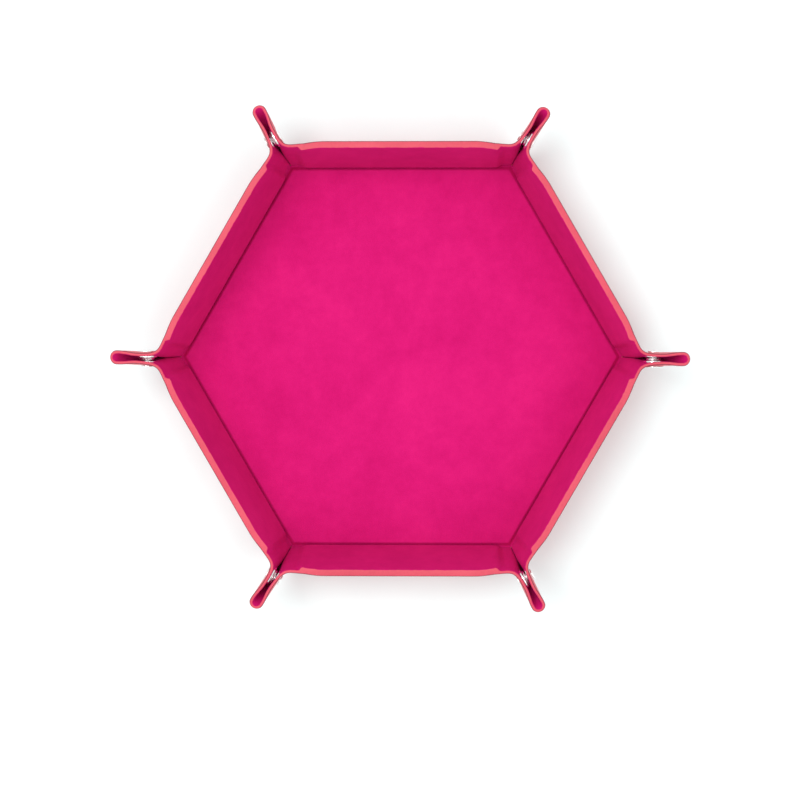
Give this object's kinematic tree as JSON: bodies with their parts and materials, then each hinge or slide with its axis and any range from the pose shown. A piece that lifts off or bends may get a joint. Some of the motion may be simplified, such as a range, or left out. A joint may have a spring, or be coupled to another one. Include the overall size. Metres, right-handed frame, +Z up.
{
  "type": "folding dice tray",
  "caption": "Hexagonal velvet-lined tray that folds flat: hinged walls stand up and snap fasteners pinch the sheet at each corner.",
  "frame": {"origin": "centre of the underside of the base, on the surface that the tray stands on", "axes": "+Z up; +X through two opposite pinched corners; +Y square to the two walls that run along X"},
  "size_m": [0.2552, 0.222, 0.0389],
  "materials": {
    "velvet": "short-pile velvet with a soft sheen and a brushed, mottled nap",
    "leather": "rose coral leather-look sheet with a fine pebble grain, satin",
    "edge": "smooth coral edge paint over the cut edge of the sheet, satin",
    "card": "grey card, matt",
    "snap_metal": "bright nickel-plated steel"
  },
  "bodies": {
    "base": {"base_board": "card", "base_skin": "leather", "base_lining": "velvet"},
    "wall_1": {"wall_board_1": "card", "wall_skin_1": "leather", "wall_lining_1": "velvet"},
    "wall_2": {"wall_board_2": "card", "wall_skin_2": "leather", "wall_lining_2": "velvet"},
    "wall_3": {"wall_board_3": "card", "wall_skin_3": "leather", "wall_lining_3": "velvet"},
    "wall_4": {"wall_board_4": "card", "wall_skin_4": "leather", "wall_lining_4": "velvet"},
    "wall_5": {"wall_board_5": "card", "wall_skin_5": "leather", "wall_lining_5": "velvet"},
    "wall_6": {"wall_board_6": "card", "wall_skin_6": "leather", "wall_lining_6": "velvet"},
    "flap_cw_1": {"corner_flap_cw_1": "leather", "snap_cap_1": "snap_metal"},
    "flap_ccw_1": {"corner_flap_ccw_1": "leather", "snap_stud_1": "snap_metal"},
    "turn_1": {"corner_turn_1": "leather"},
    "loop_1": {"corner_loop_1": "leather"},
    "flap_cw_2": {"corner_flap_cw_2": "leather", "snap_cap_2": "snap_metal"},
    "flap_ccw_2": {"corner_flap_ccw_2": "leather", "snap_stud_2": "snap_metal"},
    "turn_2": {"corner_turn_2": "leather"},
    "loop_2": {"corner_loop_2": "leather"},
    "flap_cw_3": {"corner_flap_cw_3": "leather", "snap_cap_3": "snap_metal"},
    "flap_ccw_3": {"corner_flap_ccw_3": "leather", "snap_stud_3": "snap_metal"},
    "turn_3": {"corner_turn_3": "leather"},
    "loop_3": {"corner_loop_3": "leather"},
    "flap_cw_4": {"corner_flap_cw_4": "leather", "snap_cap_4": "snap_metal"},
    "flap_ccw_4": {"corner_flap_ccw_4": "leather", "snap_stud_4": "snap_metal"},
    "turn_4": {"corner_turn_4": "leather"},
    "loop_4": {"corner_loop_4": "leather"},
    "flap_cw_5": {"corner_flap_cw_5": "leather", "snap_cap_5": "snap_metal"},
    "flap_ccw_5": {"corner_flap_ccw_5": "leather", "snap_stud_5": "snap_metal"},
    "turn_5": {"corner_turn_5": "leather"},
    "loop_5": {"corner_loop_5": "leather"},
    "flap_cw_6": {"corner_flap_cw_6": "leather", "snap_cap_6": "snap_metal"},
    "flap_ccw_6": {"corner_flap_ccw_6": "leather", "snap_stud_6": "snap_metal"},
    "turn_6": {"corner_turn_6": "leather"},
    "loop_6": {"corner_loop_6": "leather"}
  },
  "joints": [
    {"name": "wall_1_fold", "type": "hinge", "parent": "base", "child": "wall_1", "pos_m": [0.07578, 0.04375, 0.0007], "axis": [-0.5, 0.866, 0], "range_deg": [0, 79]},
    {"name": "wall_2_fold", "type": "hinge", "parent": "base", "child": "wall_2", "pos_m": [0, 0.0875, 0.0007], "axis": [-1, 0, 0], "range_deg": [0, 79]},
    {"name": "wall_3_fold", "type": "hinge", "parent": "base", "child": "wall_3", "pos_m": [-0.07578, 0.04375, 0.0007], "axis": [-0.5, -0.866, 0], "range_deg": [0, 79]},
    {"name": "wall_4_fold", "type": "hinge", "parent": "base", "child": "wall_4", "pos_m": [-0.07578, -0.04375, 0.0007], "axis": [0.5, -0.866, 0], "range_deg": [0, 79]},
    {"name": "wall_5_fold", "type": "hinge", "parent": "base", "child": "wall_5", "pos_m": [0, -0.0875, 0.0007], "axis": [1, 0, 0], "range_deg": [0, 79]},
    {"name": "wall_6_fold", "type": "hinge", "parent": "base", "child": "wall_6", "pos_m": [0.07578, -0.04375, 0.0007], "axis": [0.5, 0.866, 0], "range_deg": [0, 79]},
    {"name": "flap_ccw_1_fold", "type": "hinge", "parent": "wall_1", "child": "flap_ccw_1", "pos_m": [0.09971, 0.0023, 0.0007], "axis": [-0.219, 0, -0.9757], "range_deg": [0, 61]},
    {"name": "flap_cw_1_fold", "type": "hinge", "parent": "wall_6", "child": "flap_cw_1", "pos_m": [0.09971, -0.0023, 0.0007], "axis": [0.219, 0, 0.9757], "range_deg": [0, 61]},
    {"name": "turn_1_fold", "type": "hinge", "parent": "flap_cw_1", "child": "turn_1", "pos_m": [0.10057, -0.00181, 0.00104], "axis": [-0.5929, 0, -0.8053], "range_deg": [0, 90.05]},
    {"name": "loop_1_fold", "type": "hinge", "parent": "turn_1", "child": "loop_1", "pos_m": [0.10057, 0.00181, 0.00104], "axis": [-0.5929, 0, -0.8053], "range_deg": [0, 90.05]},
    {"name": "flap_ccw_2_fold", "type": "hinge", "parent": "wall_2", "child": "flap_ccw_2", "pos_m": [0.04786, 0.0875, 0.0007], "axis": [-0.1095, -0.1897, -0.9757], "range_deg": [0, 61]},
    {"name": "flap_cw_2_fold", "type": "hinge", "parent": "wall_1", "child": "flap_cw_2", "pos_m": [0.05185, 0.0852, 0.0007], "axis": [0.1095, 0.1897, 0.9757], "range_deg": [0, 61]},
    {"name": "turn_2_fold", "type": "hinge", "parent": "flap_cw_2", "child": "turn_2", "pos_m": [0.05185, 0.0862, 0.00104], "axis": [-0.2965, -0.5135, -0.8053], "range_deg": [0, 90.05]},
    {"name": "loop_2_fold", "type": "hinge", "parent": "turn_2", "child": "loop_2", "pos_m": [0.04872, 0.088, 0.00104], "axis": [-0.2965, -0.5135, -0.8053], "range_deg": [0, 90.05]},
    {"name": "flap_ccw_3_fold", "type": "hinge", "parent": "wall_3", "child": "flap_ccw_3", "pos_m": [-0.05185, 0.0852, 0.0007], "axis": [0.1095, -0.1897, -0.9757], "range_deg": [0, 61]},
    {"name": "flap_cw_3_fold", "type": "hinge", "parent": "wall_2", "child": "flap_cw_3", "pos_m": [-0.04786, 0.0875, 0.0007], "axis": [-0.1095, 0.1897, 0.9757], "range_deg": [0, 61]},
    {"name": "turn_3_fold", "type": "hinge", "parent": "flap_cw_3", "child": "turn_3", "pos_m": [-0.04872, 0.088, 0.00104], "axis": [0.2965, -0.5135, -0.8053], "range_deg": [0, 90.05]},
    {"name": "loop_3_fold", "type": "hinge", "parent": "turn_3", "child": "loop_3", "pos_m": [-0.05185, 0.0862, 0.00104], "axis": [0.2965, -0.5135, -0.8053], "range_deg": [0, 90.05]},
    {"name": "flap_ccw_4_fold", "type": "hinge", "parent": "wall_4", "child": "flap_ccw_4", "pos_m": [-0.09971, -0.0023, 0.0007], "axis": [0.219, 0, -0.9757], "range_deg": [0, 61]},
    {"name": "flap_cw_4_fold", "type": "hinge", "parent": "wall_3", "child": "flap_cw_4", "pos_m": [-0.09971, 0.0023, 0.0007], "axis": [-0.219, 0, 0.9757], "range_deg": [0, 61]},
    {"name": "turn_4_fold", "type": "hinge", "parent": "flap_cw_4", "child": "turn_4", "pos_m": [-0.10057, 0.00181, 0.00104], "axis": [0.5929, 0, -0.8053], "range_deg": [0, 90.05]},
    {"name": "loop_4_fold", "type": "hinge", "parent": "turn_4", "child": "loop_4", "pos_m": [-0.10057, -0.00181, 0.00104], "axis": [0.5929, 0, -0.8053], "range_deg": [0, 90.05]},
    {"name": "flap_ccw_5_fold", "type": "hinge", "parent": "wall_5", "child": "flap_ccw_5", "pos_m": [-0.04786, -0.0875, 0.0007], "axis": [0.1095, 0.1897, -0.9757], "range_deg": [0, 61]},
    {"name": "flap_cw_5_fold", "type": "hinge", "parent": "wall_4", "child": "flap_cw_5", "pos_m": [-0.05185, -0.0852, 0.0007], "axis": [-0.1095, -0.1897, 0.9757], "range_deg": [0, 61]},
    {"name": "turn_5_fold", "type": "hinge", "parent": "flap_cw_5", "child": "turn_5", "pos_m": [-0.05185, -0.0862, 0.00104], "axis": [0.2965, 0.5135, -0.8053], "range_deg": [0, 90.05]},
    {"name": "loop_5_fold", "type": "hinge", "parent": "turn_5", "child": "loop_5", "pos_m": [-0.04872, -0.088, 0.00104], "axis": [0.2965, 0.5135, -0.8053], "range_deg": [0, 90.05]},
    {"name": "flap_ccw_6_fold", "type": "hinge", "parent": "wall_6", "child": "flap_ccw_6", "pos_m": [0.05185, -0.0852, 0.0007], "axis": [-0.1095, 0.1897, -0.9757], "range_deg": [0, 61]},
    {"name": "flap_cw_6_fold", "type": "hinge", "parent": "wall_5", "child": "flap_cw_6", "pos_m": [0.04786, -0.0875, 0.0007], "axis": [0.1095, -0.1897, 0.9757], "range_deg": [0, 61]},
    {"name": "turn_6_fold", "type": "hinge", "parent": "flap_cw_6", "child": "turn_6", "pos_m": [0.04872, -0.088, 0.00104], "axis": [-0.2965, 0.5135, -0.8053], "range_deg": [0, 90.05]},
    {"name": "loop_6_fold", "type": "hinge", "parent": "turn_6", "child": "loop_6", "pos_m": [0.05185, -0.0862, 0.00104], "axis": [-0.2965, 0.5135, -0.8053], "range_deg": [0, 90.05]}
  ],
  "couplings": [
    {"joint": "wall_2_fold", "follows": "wall_1_fold", "ratio": 1},
    {"joint": "wall_3_fold", "follows": "wall_1_fold", "ratio": 1},
    {"joint": "wall_4_fold", "follows": "wall_1_fold", "ratio": 1},
    {"joint": "wall_5_fold", "follows": "wall_1_fold", "ratio": 1},
    {"joint": "wall_6_fold", "follows": "wall_1_fold", "ratio": 1},
    {"joint": "flap_ccw_1_fold", "follows": "wall_1_fold", "ratio": 0.76716},
    {"joint": "flap_cw_1_fold", "follows": "wall_1_fold", "ratio": 0.76716},
    {"joint": "turn_1_fold", "follows": "wall_1_fold", "ratio": 1.1392},
    {"joint": "loop_1_fold", "follows": "wall_1_fold", "ratio": 1.1392},
    {"joint": "flap_ccw_2_fold", "follows": "wall_1_fold", "ratio": 0.76716},
    {"joint": "flap_cw_2_fold", "follows": "wall_1_fold", "ratio": 0.76716},
    {"joint": "turn_2_fold", "follows": "wall_1_fold", "ratio": 1.1392},
    {"joint": "loop_2_fold", "follows": "wall_1_fold", "ratio": 1.1392},
    {"joint": "flap_ccw_3_fold", "follows": "wall_1_fold", "ratio": 0.76716},
    {"joint": "flap_cw_3_fold", "follows": "wall_1_fold", "ratio": 0.76716},
    {"joint": "turn_3_fold", "follows": "wall_1_fold", "ratio": 1.1392},
    {"joint": "loop_3_fold", "follows": "wall_1_fold", "ratio": 1.1392},
    {"joint": "flap_ccw_4_fold", "follows": "wall_1_fold", "ratio": 0.76716},
    {"joint": "flap_cw_4_fold", "follows": "wall_1_fold", "ratio": 0.76716},
    {"joint": "turn_4_fold", "follows": "wall_1_fold", "ratio": 1.1392},
    {"joint": "loop_4_fold", "follows": "wall_1_fold", "ratio": 1.1392},
    {"joint": "flap_ccw_5_fold", "follows": "wall_1_fold", "ratio": 0.76716},
    {"joint": "flap_cw_5_fold", "follows": "wall_1_fold", "ratio": 0.76716},
    {"joint": "turn_5_fold", "follows": "wall_1_fold", "ratio": 1.1392},
    {"joint": "loop_5_fold", "follows": "wall_1_fold", "ratio": 1.1392},
    {"joint": "flap_ccw_6_fold", "follows": "wall_1_fold", "ratio": 0.76716},
    {"joint": "flap_cw_6_fold", "follows": "wall_1_fold", "ratio": 0.76716},
    {"joint": "turn_6_fold", "follows": "wall_1_fold", "ratio": 1.1392},
    {"joint": "loop_6_fold", "follows": "wall_1_fold", "ratio": 1.1392}
  ]
}
